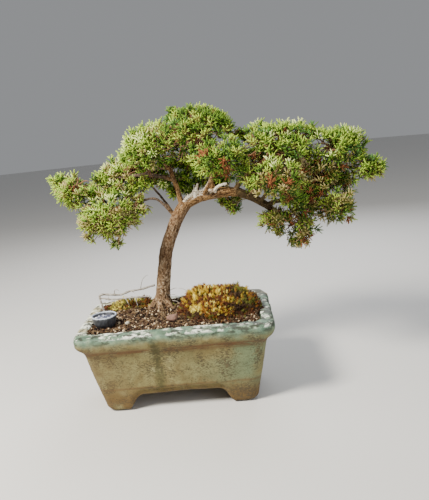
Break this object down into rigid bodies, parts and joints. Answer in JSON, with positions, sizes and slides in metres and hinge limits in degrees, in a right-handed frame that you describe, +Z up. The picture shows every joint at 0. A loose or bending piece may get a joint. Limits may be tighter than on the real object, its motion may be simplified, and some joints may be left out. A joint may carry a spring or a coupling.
{
  "type": "creeping juniper bonsai in a footed pot",
  "caption": "Creeping juniper bonsai: a leaning trunk with an arching bough and tufts of needles, rooted in a footed rectangular pot with gritty soil, moss and a feed cup.",
  "frame": {"origin": "middle of the whole plant's box, on the plane that the pot's feet stand on", "axes": "+X along the pot's long side to the right, +Y to the back, +Z up"},
  "size_m": [0.389, 0.1748, 0.3522],
  "materials": {
    "stoneware": "weathered matt glaze, cream to pale green with ochre stains",
    "soil": "loose gritty granules, tan to brown",
    "moss": "soft tufts, golden yellow to rust and green",
    "stone": "matt brown-mauve pebble",
    "cup": "glossy charcoal with a worn pale rim",
    "cup_fill": "wet dark feed with pale crumbs",
    "bark": "flaky fissured bark, tan to red-brown",
    "dead_wood": "bleached dry wood",
    "needles": "matt needles, yellow-green tips over dark green"
  },
  "bodies": {
    "root": {"pot": "stoneware", "soil": "soil", "moss_mound": "moss", "moss_patch": "moss", "stone": "stone", "feed_cup": "cup", "cup_fill": "cup_fill", "trunk": "bark", "main_bough_inner": "bark", "main_bough_outer": "bark", "upper_left_bough": "bark", "left_bough": "bark", "dead_stub": "dead_wood", "dead_spur": "dead_wood", "dead_twigs": "dead_wood", "right_limb": "bark", "low_limb": "bark", "limb_far_left": "bark", "limb_left_shoulder": "bark", "limb_apex": "bark", "limb_back_apex": "bark", "limb_inner_left": "bark", "limb_centre": "bark", "limb_front_centre": "bark", "limb_right_top": "bark", "limb_right_back": "bark", "limb_front_right": "bark", "limb_right_middle": "bark", "limb_right_outer": "bark", "limb_hanging": "bark", "limb_sprig": "bark", "limb_back_left": "bark", "foliage_low_left": "needles", "foliage_far_left": "needles", "foliage_left_shoulder": "needles", "foliage_upper_left": "needles", "foliage_apex": "needles", "foliage_back_apex": "needles", "foliage_inner_left": "needles", "foliage_centre": "needles", "foliage_front_centre": "needles", "foliage_right_top": "needles", "foliage_right_back": "needles", "foliage_front_right": "needles", "foliage_low_inner": "needles", "foliage_right_middle": "needles", "foliage_right_outer": "needles", "foliage_far_right": "needles", "foliage_right_low": "needles", "foliage_hanging": "needles", "foliage_sprig": "needles", "foliage_back_left": "needles"}
  },
  "joints": []
}
